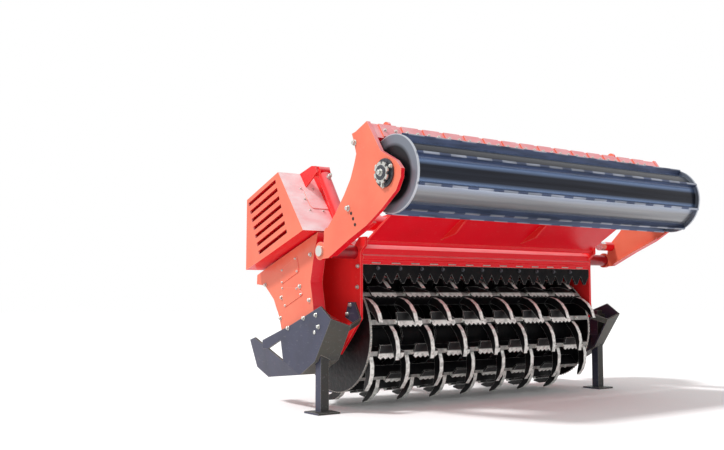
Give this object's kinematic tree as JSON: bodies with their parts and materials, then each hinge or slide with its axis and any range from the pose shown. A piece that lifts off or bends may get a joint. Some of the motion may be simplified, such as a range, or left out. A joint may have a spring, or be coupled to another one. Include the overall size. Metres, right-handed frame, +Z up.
{
  "type": "rotary tiller",
  "caption": "Heavy tractor-mounted rotary tiller: hooded hook-toothed rotor between side drive cases, raised ribbed rear roller on lift arms, rear door, hitch mast and parking legs.",
  "frame": {"origin": "on the floor, under the middle of the parked machine's box", "axes": "+X the tractor's right, +Y forward to the hitch, +Z up"},
  "size_m": [2.84, 2.1543, 1.75],
  "materials": {
    "red_paint": "glossy orange-red enamel on welded steel plate",
    "guard_paint": "dark blue-grey satin paint on wear plates",
    "tool_steel": "dark hot-worked steel, worn bright along its cutting edges",
    "roller_steel": "rolled steel scoured smooth by soil",
    "pin_steel": "zinc plated",
    "bearing_iron": "machined cast housing",
    "chrome_rod": "hard chrome"
  },
  "bodies": {
    "machine": {"side_walls": "red_paint", "hood": "red_paint", "rear_beam": "red_paint", "comb": "tool_steel", "gear_cases": "red_paint", "cover_panels": "red_paint", "upper_housings": "red_paint", "guards": "guard_paint", "arm_pivots": "pin_steel", "door_pins": "pin_steel", "cylinder_brackets": "red_paint", "hitch_plates": "red_paint", "hitch_pins": "pin_steel", "mast": "red_paint", "gearbox": "red_paint", "cross_tubes": "red_paint", "input_shaft": "pin_steel", "leg_brackets": "guard_paint", "rear_stands": "guard_paint", "stand_sockets": "guard_paint"},
    "rotor": {"rotor_drum": "tool_steel", "rotor_ends": "tool_steel", "rotor_webs": "tool_steel", "rotor_bars": "tool_steel", "long_row_hooks": "tool_steel", "short_row_hooks": "tool_steel", "rotor_blades": "tool_steel"},
    "arms": {"arm_plates": "red_paint", "crossbeam": "red_paint", "scraper_tabs": "red_paint", "roller_bearings": "bearing_iron", "eye_bosses": "red_paint"},
    "roller": {"roller_drum": "roller_steel", "roller_ribs": "roller_steel", "roller_ends": "roller_steel"},
    "door": {"door_panel": "red_paint", "door_ribs": "red_paint"},
    "barrel_left": {"cylinder_left": "red_paint"},
    "barrel_right": {"cylinder_right": "red_paint"},
    "ram_left": {"rod_left": "chrome_rod"},
    "ram_right": {"rod_right": "chrome_rod"},
    "front_leg_left": {"leg_left": "guard_paint"},
    "front_leg_right": {"leg_right": "guard_paint"}
  },
  "joints": [
    {"name": "rotor_spin", "type": "hinge", "parent": "machine", "child": "rotor", "pos_m": [0, 0.09725, 0.475], "axis": [1, 0, 0], "continuous": true},
    {"name": "arm_lift", "type": "hinge", "parent": "machine", "child": "arms", "pos_m": [0, -0.19275, 0.994], "axis": [1, 0, 0], "range_deg": [0, 78]},
    {"name": "roller_spin", "type": "hinge", "parent": "arms", "child": "roller", "pos_m": [0, -0.85125, 1.404], "axis": [1, 0, 0], "continuous": true},
    {"name": "door_swing", "type": "hinge", "parent": "machine", "child": "door", "pos_m": [0, -0.27475, 1.059], "axis": [1, 0, 0], "range_deg": [0, 100]},
    {"name": "cylinder_swing_left", "type": "hinge", "parent": "machine", "child": "barrel_left", "pos_m": [-1.2, 0.00225, 1.515], "axis": [1, 0, 0], "range_deg": [-0.5, 6]},
    {"name": "rod_slide_left", "type": "slide", "parent": "barrel_left", "child": "ram_left", "axis": [0, -0.5453, -0.8382], "range_m": [-0.001, 0.165]},
    {"name": "cylinder_swing_right", "type": "hinge", "parent": "machine", "child": "barrel_right", "pos_m": [1.2, 0.00225, 1.515], "axis": [1, 0, 0], "range_deg": [-0.5, 6]},
    {"name": "rod_slide_right", "type": "slide", "parent": "barrel_right", "child": "ram_right", "axis": [0, -0.5453, -0.8382], "range_m": [-0.001, 0.165]},
    {"name": "leg_swing_left", "type": "hinge", "parent": "machine", "child": "front_leg_left", "pos_m": [-0.525, 0.87725, 0.605], "axis": [0, 1, 0], "range_deg": [0, 95]},
    {"name": "leg_swing_right", "type": "hinge", "parent": "machine", "child": "front_leg_right", "pos_m": [0.525, 0.87725, 0.605], "axis": [0, -1, 0], "range_deg": [0, 95]}
  ],
  "couplings": [
    {"joint": "cylinder_swing_left", "follows": "arm_lift", "ratio": 0.05482},
    {"joint": "rod_slide_left", "follows": "arm_lift", "m_per_rad": 0.11594},
    {"joint": "cylinder_swing_right", "follows": "arm_lift", "ratio": 0.05482},
    {"joint": "rod_slide_right", "follows": "arm_lift", "m_per_rad": 0.11594}
  ]
}
